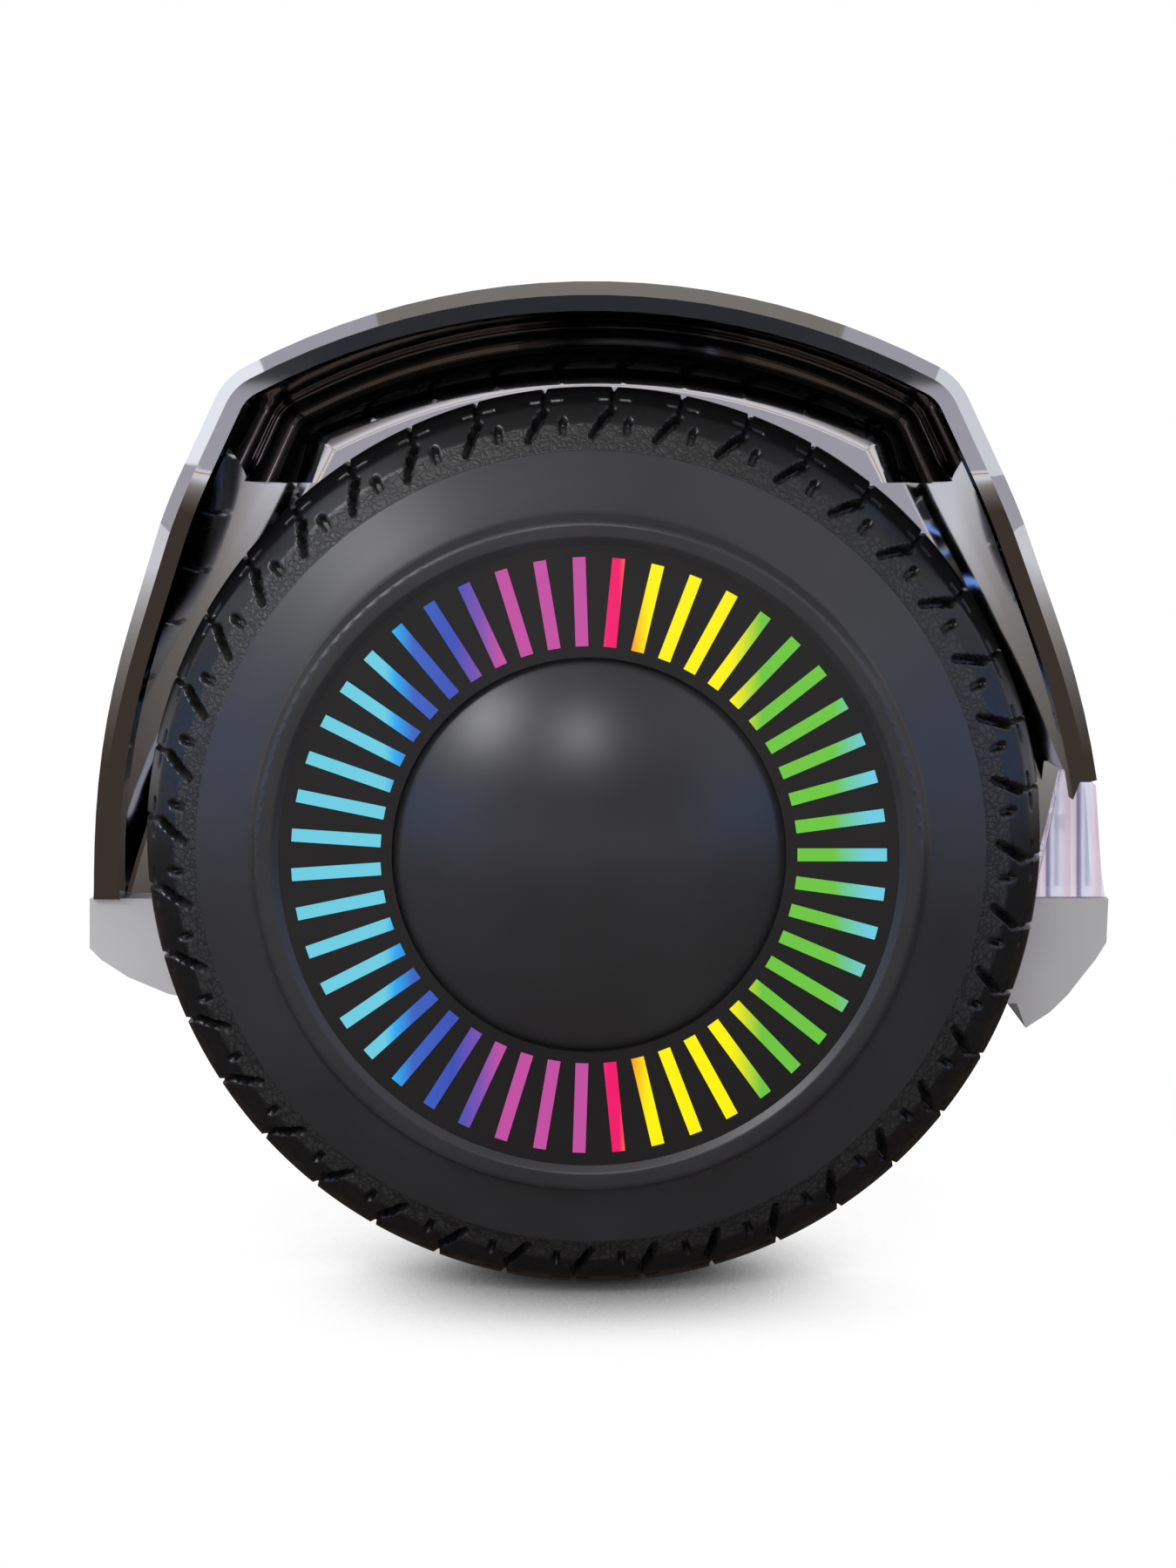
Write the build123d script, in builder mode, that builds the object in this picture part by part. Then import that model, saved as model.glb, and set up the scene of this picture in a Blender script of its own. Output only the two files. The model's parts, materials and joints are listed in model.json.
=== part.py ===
from build123d import *
import os
from math import asin, degrees

# Self balancing hoverboard, in millimetres.
# The origin is on the floor, midway between the two wheels. +X runs along the board to the left
# wheel, +Z is up, and the rider faces -Y. The left half is drawn, and the right half mirrors it.

# %% Driving dimensions
TYRE_RADIUS = 82.5  # a 6.5 inch wheel
AXLE_Z = TYRE_RADIUS
SEAM_Z = 64.0  # where the upper and lower covers meet
TOP_Z = 182.5  # crown of the fender
DECK_Z = 112.0
HALF_GAP = 1.25  # from the middle plane to each half
WHEEL_X = 262.0  # middle plane of the wheel
WELL_X = 231.0  # outer face of the end wall, beside the wheel
WELL_FILLET = 12.0  # between the end wall and the arch, above ARCH_Z
ARCH_Z = 148.0
LIP_X = 282.0  # outer edge of the fender
REACH = 300.0  # longer and wider than anything here: for cuts that go right through

# Upper cover and fender
WALL = 2.6
END_WALL = 3.0
FENDER_WALL = 3.2
CROWN_R = 133.0
SHOULDER_Y = 65.4
SHOULDER_FILLET = 12.0
HIP_Y, HIP_Z = 86.0, 120.7
FOOT_Y = 102.2  # half width at the seam
FOOT_Z = 50.0  # outlines run on below the seam, so that cavities are open there
LIP_KINK_Z = 142.0
LIP_FOOT_X = 226.6
LIP_LAND = 5.6  # width of the fender's rolled lip
LIP_DEPTH = 4.0
LIP_BEVEL = 2.8
EDGE_FILLET = 6.0
WAIST_Y, WAIST_Z = 60.0, 104.0
PLAN_WAIST = (55.0, 78.5)
PLAN_HIP = (96.0, 97.0)
PLAN_END = (230.0, 103.2)
AXLE_SLOT_R = 11.0
PIVOT_HOLE_R = 18.0

# Lower cover and bumpers
LOWER_WALL = 3.0
LOWER_SET_IN = 1.6  # how far its plan outline sits inside the upper cover's
KEEL_Z = 47.0
BASE_Y, BASE_Z = 62.0, 38.0
CHINE_Y, CHINE_Z = 84.0, 47.0
SIDE_Y, SIDE_Z = 100.5, 56.0
BUMPER_X0, BUMPER_X1 = 150.0, 234.0
BUMPER_INNER_Y = 77.0
BUMPER_PROUD = 1.2

# Headlight, in the front corner beside the wheel
LAMP_X0, LAMP_X1 = 150.0, 233.5
LAMP_Z0, LAMP_Z1 = 64.3, 89.2
LAMP_GAP = 0.4
LENS_WALL = 2.0

# Foot pad, its recess and its posts, and the indicator beside it
PAD_X0, PAD_X1 = 60.0, 186.0
PAD_Y0, PAD_Y1 = 66.0, 79.0  # half width at each end
PAD_Z0, PAD_Z1 = 109.0, 113.5
PAD_CORNER = 14.0
PAD_GAP = 0.8
RECESS_Z = 107.0
POST_X, POST_Y, POST_Z, POST_R = 118.0, 45.0, 99.0, 8.0
INDICATOR_X, INDICATOR_LENGTH, INDICATOR_WIDTH = 50.5, 36.0, 4.6

# Wheel: distances from the axle, and places along it
AXLE_R = 7.5
COLLAR_R = 10.0
RUNNING_GAP = 0.05
BEARING_R, BEARING_WIDTH = 17.5, 11.0
HUB_R = 21.0
CORE_R, TOOTH_R, STATOR_R = 34.0, 49.0, 52.8
CORE_BORE_R = 22.0
MAGNET_R0, MAGNET_R1 = 53.5, 57.0
RIM_R = 62.0
RIM_X0, RIM_X1 = 244.0, 280.0
DISC = 4.0  # thickness of the wheel's two side discs
FACE_R, FACE_X0, FACE_X1 = 53.2, 290.0, 292.4
LEDGE_R, BOARD_R = 51.8, 53.5
DOME_R, DOME_X, DOME_RISE, DOME_WALL = 33.8, 302.0, 11.0, 2.2
DOME_SPHERE_R = (DOME_R ** 2 + DOME_RISE ** 2) / (2 * DOME_RISE)
BAR_R0, BAR_R1, BAR_WIDTH = 35.7, 51.0, 2.2
BAR_COUNT = 47
BAR_START = 180.0  # the first bar points to the front
TOOTH_COUNT, MAGNET_COUNT = 27, 30

# Frame, clamp, pivot and cells
PLATE_Z0, PLATE_Z1 = 88.0, 91.0
FRAME_X0, FRAME_X1, FRAME_Y = 34.0, 226.0, 54.0
FRAME_WALL, FRAME_FOOT_Z, RIB_Z = 4.0, 56.0, 84.0
CLAMP_X0, CLAMP_X1, CLAMP_Y = 194.0, 224.0, 26.0
CLAMP_Z0, CLAMP_Z1 = 70.0, 98.0
CLAMP_SPLIT = 0.25  # half the gap between the clamp and the frame
TUBE_R, TUBE_BORE_R, TUBE_END = 12.5, 9.5, 60.0
BUSH_R = 15.0
PIVOT_BOSS_R, PIVOT_X0, PIVOT_X1 = 17.5, 3.0, 54.0
STOP_R0, STOP_R1 = 16.2, 18.5
STOP_KEY = 4.0  # width of the tube's key
STOP_WINDOW = 39.0  # degrees: twelve each way, and the key's own width
CELL_R, CELL_LENGTH, CELL_PITCH, CELL_Z = 9.2, 64.8, 18.5, 63.0
CASE_WALL = 1.4

# Sensor board under the foot pad
BOARD_X0, BOARD_X1, BOARD_Y, BOARD_Z = 98.0, 138.0, 53.0, 95.0
BOARD = 1.6  # thickness of a circuit board

# Screws: x, y and the top of the upper cover's boss, on both sides
SCREW_PLACES = [(x, y * side, top)
                for x, y, top in ((24, 44, 103), (143, 84.5, 111), (224.5, 62, 96))
                for side in (-1, 1)]
SCREW_R, SCREW_HEAD_R, SCREW_HEAD = 1.6, 3.0, 2.4
SCREW_BOSS_R = 4.5
SCREW_SEAT_Z, SCREW_TIP_Z = 54.0, 76.0
BOLT_PLACES = [(x, y) for x in (200, 218) for y in (-18, 18)]
BOLT_R, BOLT_HEAD_R, BOLT_HEAD, BOLT_TIP_Z = 2.5, 4.5, 5.0, 94.0

# Power button and charging socket, at the back of the right half
REAR_Z = 77.0
BOSS_R, BOSS_DEPTH = 11.5, 10.0
BUTTON_X, BUTTON_FACE_Y = -128.0, 99.4
BUTTON_BORE_R, BUTTON_R, BUTTON_PROUD = 7.0, 6.9, 1.0
SOCKET_X, SOCKET_FACE_Y, SOCKET_R = -104.0, 98.2, 7.5
SOCKET_BORE_R, SOCKET_DEPTH, PIN_R, PIN_LENGTH = 5.6, 12.0, 1.0, 6.0
CAP_R, CAP, PLUG_R, PLUG = 9.5, 1.8, 5.2, 1.9
CAP_HINGE_Y, CAP_HINGE_Z = 99.4, 66.4

# The axis that both wheels and the twisting pivot share, and a plane through it whose local
# axes are x and the distance from the axle
AXIS = Axis((0, 0, AXLE_Z), (1, 0, 0))
SPIN = Plane(origin=(0, 0, AXLE_Z), x_dir=(1, 0, 0), z_dir=(0, -1, 0))


def across(x):
    """Plane square to the axle at x and centred on it, with local axes y and z."""
    return Plane(origin=(x, 0, AXLE_Z), x_dir=(0, 1, 0), z_dir=(1, 0, 0))


def rear_plane(x, y):
    """Plane facing backwards at y, centred on a rear boss."""
    return Plane(origin=(x, y, REAR_Z), x_dir=(-1, 0, 0), z_dir=(0, 1, 0))


def box_between(low, high, mode=Mode.ADD):
    """Box given by its lowest and highest corners."""
    size = [b - a for a, b in zip(low, high)]
    middle = tuple((a + b) / 2 for a, b in zip(low, high))
    with Locations(middle):
        Box(*size, mode=mode)


def post(x, y, z0, z1, radius, mode=Mode.ADD):
    """Upright cylinder from z0 to z1."""
    with Locations((x, y, (z0 + z1) / 2)):
        Cylinder(radius, z1 - z0, mode=mode)


def ring(x0, x1, outer_r, inner_r=0.0, mode=Mode.ADD):
    """Ring or disc about the axle, from x0 to x1."""
    with BuildSketch(SPIN) as section:
        with Locations(((x0 + x1) / 2, (inner_r + outer_r) / 2)):
            Rectangle(x1 - x0, outer_r - inner_r)
    revolve(section.sketch, axis=AXIS, mode=mode)


def save(piece, name):
    """Label a finished piece and write it as one STEP file."""
    piece.part.label = name
    export_step(piece.part, f"parts/{name}.step")


def save_pair(piece, name):
    """Write a piece of the left half, and its mirror image for the right half."""
    save(piece, f"left_{name}")
    with BuildPart() as twin:
        mirror(piece.part, about=Plane.YZ)
    save(twin, f"right_{name}")


os.makedirs("parts", exist_ok=True)


# %% Outlines of the body
def inset_by(amount):
    """Move the current sketch's outline inwards."""
    if amount:
        offset(amount=-amount)


def end_outline(inset=0.0):
    """The body seen along the axle: crown arc, sloping shoulders and bowed legs."""
    half_angle = degrees(asin(SHOULDER_Y / CROWN_R))
    with BuildSketch(Plane.YZ) as outline:
        with BuildLine():
            crown = CenterArc((0, TOP_Z - CROWN_R), CROWN_R, 90, -half_angle)
            slope = Line(crown @ 1, (HIP_Y, HIP_Z))
            leg = TangentArc(slope @ 1, (FOOT_Y, SEAM_Z), tangent=slope % 1)
            Polyline(leg @ 1, (FOOT_Y, FOOT_Z), (0, FOOT_Z), crown @ 0)
        make_face()
        mirror(about=Plane.YZ)
        shoulders = outline.vertices().filter_by(lambda v: abs(abs(v.X) - SHOULDER_Y) < 0.01)
        fillet(shoulders, SHOULDER_FILLET)
        inset_by(inset)
    return outline.sketch


def side_outline(inset=0.0, shift=0.0):
    """The body seen from the front: waist, deck, rise to the fender and its raked lip."""
    rounded = {(18, WAIST_Z): 30, (44, DECK_Z): 30, (190, DECK_Z): 22, (LIP_X, LIP_KINK_Z): 25}
    with BuildSketch(Plane.XZ.shift_origin((shift, 0, 0))) as outline:
        with BuildLine():
            Polyline((HALF_GAP, FOOT_Z), (HALF_GAP, WAIST_Z), (18, WAIST_Z), (44, DECK_Z),
                     (190, DECK_Z), (231, 190), (LIP_X, 190), (LIP_X, LIP_KINK_Z),
                     (LIP_FOOT_X, FOOT_Z), close=True)
        make_face()
        for corner, radius in rounded.items():
            fillet(outline.vertices().sort_by_distance(corner)[0], radius)
        inset_by(inset)
    return outline.sketch


def plan_outline(inset=0.0):
    """The body seen from above: a narrow waist swells in two tangent arcs to the wheel end."""
    with BuildSketch(Plane.XY) as outline:
        with BuildLine():
            neck = Polyline((HALF_GAP, 0), (HALF_GAP, WAIST_Y), (14, WAIST_Y))
            waist = TangentArc(neck @ 1, PLAN_WAIST, tangent=(1, 0))
            hip = TangentArc(waist @ 1, PLAN_HIP, tangent=waist % 1)
            Polyline(hip @ 1, PLAN_END, (LIP_X + 2, PLAN_END[1]), (LIP_X + 2, 0), (HALF_GAP, 0))
        make_face()
        mirror(about=Plane.XZ)
        inset_by(inset)
    return outline.sketch


def hull_outline(inset=0.0):
    """The lower cover seen along the axle: flat base, chines and short upright sides."""
    with BuildSketch(Plane.YZ) as outline:
        with BuildLine():
            Polyline((0, BASE_Z), (BASE_Y, BASE_Z), (CHINE_Y, CHINE_Z), (SIDE_Y, SIDE_Z),
                     (SIDE_Y, SEAM_Z + 6), (0, SEAM_Z + 6), close=True)
        make_face()
        mirror(about=Plane.YZ)
        inset_by(inset)
    return outline.sketch


def keel_outline(inset=0.0):
    """The lower cover seen from the front: it is shallower at the waist."""
    with BuildSketch(Plane.XZ) as outline:
        with BuildLine():
            Polyline((HALF_GAP, SEAM_Z + 6), (HALF_GAP, KEEL_Z), (16, KEEL_Z),
                     (66, BASE_Z - 1.5), (WELL_X, BASE_Z - 1.5), (WELL_X, SEAM_Z + 6), close=True)
        make_face()
        inset_by(inset)
    return outline.sketch


def pad_outline(z, grow=0.0):
    """The foot pad from above, at height z: it widens towards the wheel."""
    with BuildSketch(Plane.XY.offset(z)) as outline:
        with BuildLine():
            Polyline((PAD_X0, -PAD_Y0), (PAD_X1, -PAD_Y1), (PAD_X1, PAD_Y1), (PAD_X0, PAD_Y0),
                     close=True)
        make_face()
        fillet(outline.vertices(), PAD_CORNER)
        inset_by(-grow)
    return outline.sketch


def lamp_outline(x, grow=0.0):
    """The headlight seen along the axle, in the front corner above the seam."""
    with BuildSketch(Plane.YZ.offset(x)) as outline:
        with BuildLine():
            Polyline((-102.0, LAMP_Z0), (-101.3, 69), (-100.2, 86.7), (-98, LAMP_Z1),
                     (-93.6, LAMP_Z1), (-87.7, LAMP_Z0), close=True)
        make_face()
        if grow:
            offset(amount=grow, kind=Kind.INTERSECTION)
    return outline.sketch


def indicator_outline(z, shrink=0.0):
    """The indicator strip from above, across the deck at its waist end."""
    with BuildSketch(Plane.XY.offset(z)) as outline:
        with Locations((INDICATOR_X, 0)):
            SlotOverall(INDICATOR_LENGTH - shrink, INDICATOR_WIDTH - shrink, rotation=90)
    return outline.sketch


# %% Solid forms of the body
def is_upper_edge(edge):
    """Edges of the deck and fender, but not those of the lip, the middle face or the seam."""
    box = edge.bounding_box()
    return box.min.Z > SEAM_Z + 20 and box.max.X < LIP_X - 30 and box.size.X > 0.01


def is_lip_edge(edge):
    """Edges of the fender's outer lip."""
    box = edge.bounding_box()
    over_the_lip = edge.geom_type == GeomType.LINE and box.size.Y > 2 * SHOULDER_Y
    along_x = box.size.Y < 0.01 and box.size.Z < 0.01
    return box.min.X > WELL_X + 3 and not over_the_lip and not along_x


def upper_form(inset, edge_fillet):
    """Solid of the left upper body with every face moved in and its edges rounded."""
    with BuildPart() as form:
        extrude(end_outline(inset), amount=REACH)
        extrude(side_outline(inset), amount=REACH, both=True, mode=Mode.INTERSECT)
        extrude(plan_outline(inset), amount=REACH, mode=Mode.INTERSECT)
        split(bisect_by=Plane.XY.offset(SEAM_Z), keep=Keep.TOP)
        fillet(form.edges().filter_by(is_upper_edge), edge_fillet)
    return form.part


def hull_form(inset=0.0):
    """Solid of the left lower body with every face moved in."""
    with BuildPart() as form:
        extrude(hull_outline(inset), amount=REACH)
        extrude(keel_outline(inset), amount=REACH, both=True, mode=Mode.INTERSECT)
        extrude(plan_outline(LOWER_SET_IN + inset), amount=REACH, mode=Mode.INTERSECT)
    return form.part


outer_form = upper_form(0.0, EDGE_FILLET)
inner_form = upper_form(WALL, EDGE_FILLET - WALL)
outer_hull = hull_form()
inner_hull = hull_form(LOWER_WALL)

# %% Upper covers: shells with a wheel well, deck recess, screw bosses and slots
with BuildPart() as cavity:
    add(inner_form)
    box_between((HALF_GAP + WALL, -REACH, 0), (WELL_X - END_WALL, REACH, REACH), Mode.INTERSECT)

def is_inner_arch(edge):
    """True for the crown of the arch where it meets the end wall."""
    box = edge.bounding_box()
    return box.max.X < WELL_X + 0.01 and box.min.Z > SEAM_Z + 60 and box.size.Y > 1


with BuildPart() as wheel_well:
    extrude(end_outline(FENDER_WALL), amount=REACH)
    extrude(side_outline(shift=-LIP_DEPTH), amount=REACH, both=True, mode=Mode.INTERSECT)
    extrude(end_outline(LIP_LAND), amount=REACH)
    box_between((WELL_X, -REACH, 0), (REACH, REACH, REACH), Mode.INTERSECT)

with BuildPart() as arch_top:
    add(wheel_well.part)
    fillet(arch_top.edges().filter_by(is_inner_arch), WELL_FILLET)
    box_between((WELL_X, -REACH, ARCH_Z), (REACH, REACH, REACH), Mode.INTERSECT)

with BuildPart() as rounded_well:
    add(wheel_well.part)
    box_between((WELL_X, -REACH, 0), (REACH, REACH, ARCH_Z), Mode.INTERSECT)
    add(arch_top.part)

with BuildPart() as screw_bosses:
    for x, y, top in SCREW_PLACES:
        post(x, y, SEAM_Z, top, SCREW_BOSS_R)
    add(outer_form, mode=Mode.INTERSECT)

with BuildPart() as top_cover:
    add(outer_form)
    chamfer(top_cover.edges().filter_by(is_lip_edge), LIP_BEVEL)
    add(cavity.part, mode=Mode.SUBTRACT)
    add(rounded_well.part, mode=Mode.SUBTRACT)
    add(screw_bosses.part)
    # the tray under the foot pad, with holes for the pad's posts
    extrude(pad_outline(RECESS_Z - WALL, PAD_GAP + WALL), amount=DECK_Z - RECESS_Z)
    extrude(pad_outline(RECESS_Z, PAD_GAP), amount=REACH, mode=Mode.SUBTRACT)
    for side in (-1, 1):
        post(POST_X, POST_Y * side, RECESS_Z - 5, RECESS_Z + 5, POST_R + 2.5, Mode.SUBTRACT)
    extrude(indicator_outline(DECK_Z - 5), amount=10, mode=Mode.SUBTRACT)
    # the slot that drops over the axle, the pivot's hole and the headlight's corner
    ring(WELL_X - 10, WELL_X + 10, AXLE_SLOT_R, mode=Mode.SUBTRACT)
    box_between((WELL_X - 10, -AXLE_SLOT_R, SEAM_Z - 5), (WELL_X + 10, AXLE_SLOT_R, AXLE_Z),
                Mode.SUBTRACT)
    ring(0, 10, PIVOT_HOLE_R, mode=Mode.SUBTRACT)
    extrude(lamp_outline(LAMP_X0 - LAMP_GAP, LAMP_GAP), amount=REACH, mode=Mode.SUBTRACT)
    for x, y, top in SCREW_PLACES:
        post(x, y, SEAM_Z - 5, SCREW_TIP_Z, SCREW_R, Mode.SUBTRACT)

save(top_cover, "left_top_cover")

with BuildPart() as right_top_cover:
    mirror(top_cover.part, about=Plane.YZ)
    # flat bosses for the power button and the charging socket
    for x, face_y, bore_r in ((BUTTON_X, BUTTON_FACE_Y, BUTTON_BORE_R),
                              (SOCKET_X, SOCKET_FACE_Y, SOCKET_R)):
        with BuildSketch(rear_plane(x, face_y)):
            Circle(BOSS_R)
        extrude(amount=-BOSS_DEPTH)
        with BuildSketch(rear_plane(x, face_y)):
            Circle(bore_r)
        extrude(amount=-20, mode=Mode.SUBTRACT)
    # two ears for the socket cap's hinge
    for side in (-1, 1):
        box_between((SOCKET_X + 5.3 * side - 1, 96, CAP_HINGE_Z - 1.2),
                    (SOCKET_X + 5.3 * side + 1, CAP_HINGE_Y, CAP_HINGE_Z + 1.2))

save(right_top_cover, "right_top_cover")

# %% Lower cover: a shallow tray with counterbored screw posts
with BuildPart() as tray:
    add(inner_hull)
    box_between((HALF_GAP + LOWER_WALL, -REACH, 0), (WELL_X - END_WALL, REACH, REACH),
                Mode.INTERSECT)

with BuildPart() as screw_posts:
    for x, y, top in SCREW_PLACES:
        post(x, y, 0, SEAM_Z, SCREW_BOSS_R)
    add(outer_hull, mode=Mode.INTERSECT)

with BuildPart() as bottom_cover:
    add(outer_hull)
    split(bisect_by=Plane.XY.offset(SEAM_Z), keep=Keep.BOTTOM)
    add(tray.part, mode=Mode.SUBTRACT)
    add(screw_posts.part)
    ring(0, 10, PIVOT_HOLE_R, mode=Mode.SUBTRACT)
    for x, y, top in SCREW_PLACES:
        post(x, y, 0, SEAM_Z + 5, SCREW_R + 0.2, Mode.SUBTRACT)
        post(x, y, 0, SCREW_SEAT_Z, SCREW_HEAD_R + 0.3, Mode.SUBTRACT)

save_pair(bottom_cover, "bottom_cover")


# %% Bumpers: corner guards wrapped around the lower cover, beside the wheel
def bumper(*outline_points):
    """Corner guard: its outline swept along x, less the cover that it wraps."""
    with BuildPart() as guard:
        with BuildSketch(Plane.YZ.offset(BUMPER_X0)):
            with BuildLine():
                Polyline(*outline_points, close=True)
            make_face()
        extrude(amount=BUMPER_X1 - BUMPER_X0)
        extrude(plan_outline(-BUMPER_PROUD), amount=REACH, mode=Mode.INTERSECT)
        add(outer_hull, mode=Mode.SUBTRACT)
    return guard


rear_bumper = bumper((103.0, SEAM_Z), (103.0, 54), (100.7, 51.7), (95.3, 48.2), (87.2, 44.8),
                     (BUMPER_INNER_Y, 42.6), (BUMPER_INNER_Y, SEAM_Z))
save_pair(rear_bumper, "rear_bumper")

front_bumper = bumper((-102.6, SEAM_Z), (-102.2, 55.2), (-100, 51.7), (-97.2, 48.2),
                      (-94.4, 44.6), (-90.8, 41.1), (-85.9, 37.9), (-84.1, 42.9),
                      (-BUMPER_INNER_Y, 42.6), (-BUMPER_INNER_Y, SEAM_Z))
save_pair(front_bumper, "front_bumper")

# %% Headlight: a clear lens, open on its inner side, over a reflector with three emitters
with BuildPart() as headlight_lens:
    extrude(lamp_outline(LAMP_X0), amount=LAMP_X1 - LAMP_X0)
    with BuildSketch(Plane.YZ.offset(LAMP_X0 + LENS_WALL)):
        with BuildLine():
            Polyline((-99.9, LAMP_Z0 + LENS_WALL), (-99.3, 69), (-98.3, 86.2),
                     (-97.3, LAMP_Z1 - LENS_WALL), (-85, LAMP_Z1 - LENS_WALL),
                     (-80, LAMP_Z0 + LENS_WALL), close=True)
        make_face()
    extrude(amount=LAMP_X1 - LAMP_X0 - 2 * LENS_WALL, mode=Mode.SUBTRACT)

save_pair(headlight_lens, "headlight_lens")

with BuildPart() as headlight_housing:
    with BuildSketch(Plane.YZ.offset(LAMP_X0 + 0.5)):
        with BuildLine():
            Polyline((-93.4, LAMP_Z1), (-87.5, LAMP_Z0), (-82, LAMP_Z0), (-84, LAMP_Z1),
                     close=True)
        make_face()
    extrude(amount=WELL_X - END_WALL - LAMP_X0 - 1)
    for lamp_x in (168, 190, 212):
        with Locations(Location((lamp_x, -90, 76.5), (90, 0, 0))):
            Cone(8, 4, 8)
            Cylinder(3, 14)

save_pair(headlight_housing, "headlight_housing")

# %% Foot pad: a rubber mat moulded with two posts that reach the sensors
with BuildPart() as foot_pad:
    extrude(pad_outline(PAD_Z0), amount=PAD_Z1 - PAD_Z0)
    fillet(foot_pad.faces().sort_by(Axis.Z)[-1].edges(), 1.4)
    for side in (-1, 1):
        post(POST_X, POST_Y * side, POST_Z, PAD_Z0, POST_R)

save_pair(foot_pad, "foot_pad")

with BuildPart() as indicator_lens:
    extrude(indicator_outline(DECK_Z - 3.2, shrink=0.3), amount=3.4)

save_pair(indicator_lens, "indicator_lens")


# %% Frame: a cast channel that carries the deck, the axle's clamp and the pivot's boss
def cast_frame(bore_r):
    """The left half's frame, with its pivot bored to bore_r."""
    with BuildPart() as frame:
        box_between((FRAME_X0, -FRAME_Y, PLATE_Z0), (FRAME_X1, FRAME_Y, PLATE_Z1))
        for side in (-1, 1):
            near, far = sorted((side * (FRAME_Y - FRAME_WALL), side * FRAME_Y))
            box_between((FRAME_X0, near, FRAME_FOOT_Z), (FRAME_X1, far, PLATE_Z0))
            for x in (72, 176):
                post(x, 36 * side, PLATE_Z1, RECESS_Z - WALL, 5)
            for x in (BOARD_X0 + 4, BOARD_X1 - 4):
                post(x, (BOARD_Y - 4) * side, PLATE_Z1, BOARD_Z, 3)
        for x in (80, 125, 170):
            box_between((x - 1.5, -FRAME_Y, RIB_Z), (x + 1.5, FRAME_Y, PLATE_Z0))
        box_between((CLAMP_X0, -CLAMP_Y, AXLE_Z + CLAMP_SPLIT), (CLAMP_X1, CLAMP_Y, CLAMP_Z1))
        ring(CLAMP_X0 - 1, FRAME_X1 + 1, AXLE_R, mode=Mode.SUBTRACT)
        for x, y in BOLT_PLACES:
            post(x, y, CLAMP_Z0, BOLT_TIP_Z, BOLT_R, Mode.SUBTRACT)
        ring(PIVOT_X0, PIVOT_X1, PIVOT_BOSS_R)
        ring(PIVOT_X0 - 1, PIVOT_X1, bore_r, mode=Mode.SUBTRACT)
        ring(PIVOT_X1, TUBE_END + 2, STOP_R0, mode=Mode.SUBTRACT)
    return frame


left_frame = cast_frame(TUBE_R)
save(left_frame, "left_frame")

# The right boss carries a collar with a window, in which the tube's key stops the twist.
with BuildPart() as stop_collar:
    ring(PIVOT_X1, TUBE_END, STOP_R1, STOP_R0)
    with BuildSketch(SPIN) as window:
        with Locations(((PIVOT_X1 + TUBE_END) / 2, -(STOP_R0 + STOP_R1) / 2)):
            Rectangle(TUBE_END - PIVOT_X1 + 2, 5)
    revolve(window.sketch, axis=AXIS, revolution_arc=STOP_WINDOW / 2, mode=Mode.SUBTRACT)
    revolve(window.sketch, axis=AXIS, revolution_arc=-STOP_WINDOW / 2, mode=Mode.SUBTRACT)

with BuildPart() as right_frame:
    mirror(cast_frame(BUSH_R).part, about=Plane.YZ)
    mirror(stop_collar.part, about=Plane.YZ)

save(right_frame, "right_frame")

with BuildPart() as axle_clamp:
    box_between((CLAMP_X0 + 1, -CLAMP_Y, CLAMP_Z0), (CLAMP_X1 - 1, CLAMP_Y, AXLE_Z - CLAMP_SPLIT))
    ring(CLAMP_X0, CLAMP_X1, AXLE_R, mode=Mode.SUBTRACT)
    for x, y in BOLT_PLACES:
        post(x, y, CLAMP_Z0 - 1, AXLE_Z, BOLT_R, Mode.SUBTRACT)
    fillet(axle_clamp.edges().filter_by(Axis.Z).filter_by(GeomType.LINE), 3)

save_pair(axle_clamp, "axle_clamp")

with BuildPart() as screws:
    for x, y, top in SCREW_PLACES:
        post(x, y, SCREW_SEAT_Z - SCREW_HEAD, SCREW_SEAT_Z, SCREW_HEAD_R)
        post(x, y, SCREW_SEAT_Z, SCREW_TIP_Z, SCREW_R)
        post(x, y, SCREW_SEAT_Z - SCREW_HEAD, SCREW_SEAT_Z - 1, 1.2, Mode.SUBTRACT)
    for x, y in BOLT_PLACES:
        post(x, y, CLAMP_Z0 - BOLT_HEAD, CLAMP_Z0, BOLT_HEAD_R)
        post(x, y, CLAMP_Z0, BOLT_TIP_Z, BOLT_R)

save_pair(screws, "screws")

# %% Pivot: a keyed tube fixed in the left frame turns in a bush in the right one
with BuildPart() as pivot_tube:
    ring(-TUBE_END, PIVOT_X1, TUBE_R, TUBE_BORE_R)
    box_between((-TUBE_END, -STOP_KEY / 2, AXLE_Z - STOP_R1 + 0.5),
                (-TUBE_END + 2.5, STOP_KEY / 2, AXLE_Z - TUBE_R + 0.5))

save(pivot_tube, "pivot_tube")

with BuildPart() as pivot_bush:
    ring(-PIVOT_X1, -PIVOT_X0, BUSH_R, TUBE_R + RUNNING_GAP)

save(pivot_bush, "pivot_bush")

with BuildPart() as retaining_ring:
    ring(-PIVOT_X1 - 2.1, -PIVOT_X1 - 0.6, 15.6, TUBE_R)

save(retaining_ring, "retaining_ring")

with BuildPart() as centre_seal:
    ring(-HALF_GAP + 0.3, HALF_GAP, 21, PIVOT_HOLE_R)

save(centre_seal, "centre_seal")

# %% Hub motor: fixed axle, stator and windings, and the rotor that carries the tyre
with BuildPart() as axle:
    ring(CLAMP_X0, 284, AXLE_R)
    ring(WELL_X + 1, RIM_X0 - 0.5, COLLAR_R, AXLE_R - 1)
    chamfer(axle.faces().sort_by(Axis.X)[-1].edges(), 1)

save_pair(axle, "axle")

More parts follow.
